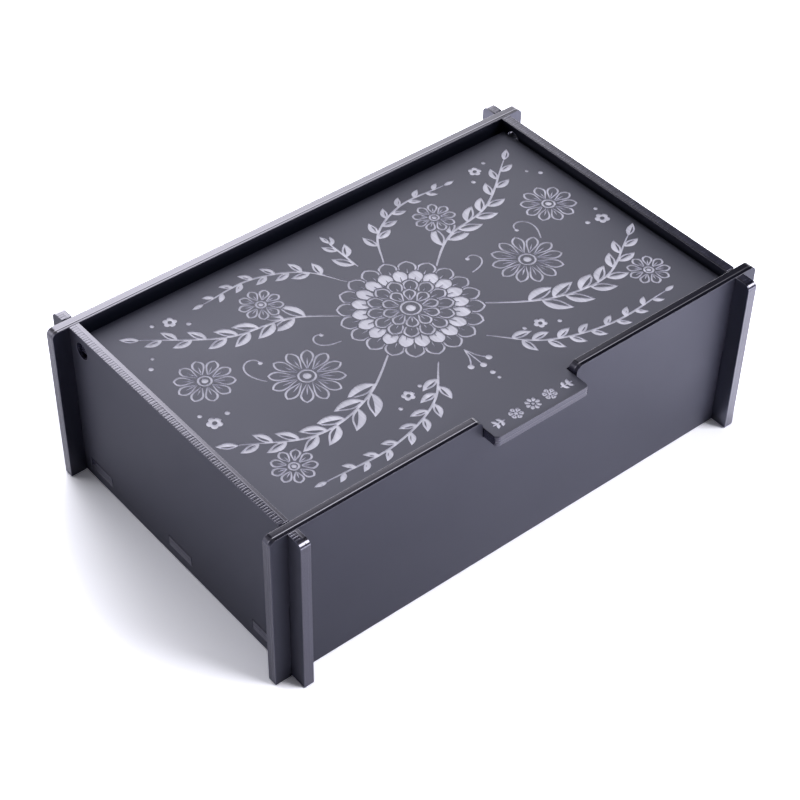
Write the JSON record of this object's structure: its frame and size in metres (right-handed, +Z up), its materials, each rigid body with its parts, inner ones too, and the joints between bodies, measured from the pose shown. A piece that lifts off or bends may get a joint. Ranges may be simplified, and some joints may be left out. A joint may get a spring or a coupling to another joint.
{
  "type": "jewelry box",
  "caption": "Jewelry box of interlocking flat black acrylic panels with overhanging corners, an inset hinged lid with a pull tab, and loose dividers inside.",
  "frame": {"origin": "middle of the footprint, at the level the panels stand on", "axes": "+X to the right along the front, +Y to the rear, +Z up"},
  "size_m": [0.16, 0.105, 0.0508],
  "materials": {
    "wall_acrylic": "satin black cast acrylic with glossy cut edges",
    "lid_acrylic": "satin black cast acrylic with a frosted engraved ornament",
    "divider_acrylic": "satin black cast acrylic with glossy cut edges"
  },
  "bodies": {
    "box": {"front_panel": "wall_acrylic", "rear_panel": "wall_acrylic", "left_end_panel": "wall_acrylic", "right_end_panel": "wall_acrylic", "floor_panel": "wall_acrylic", "long_divider": "divider_acrylic", "left_cross_divider": "divider_acrylic", "right_cross_divider": "divider_acrylic"},
    "lid": {"lid": "lid_acrylic"}
  },
  "joints": [
    {"name": "lid_hinge", "type": "hinge", "parent": "box", "child": "lid", "pos_m": [0, 0.0392, 0.0463], "axis": [-1, 0, 0], "range_deg": [0, 125]}
  ]
}
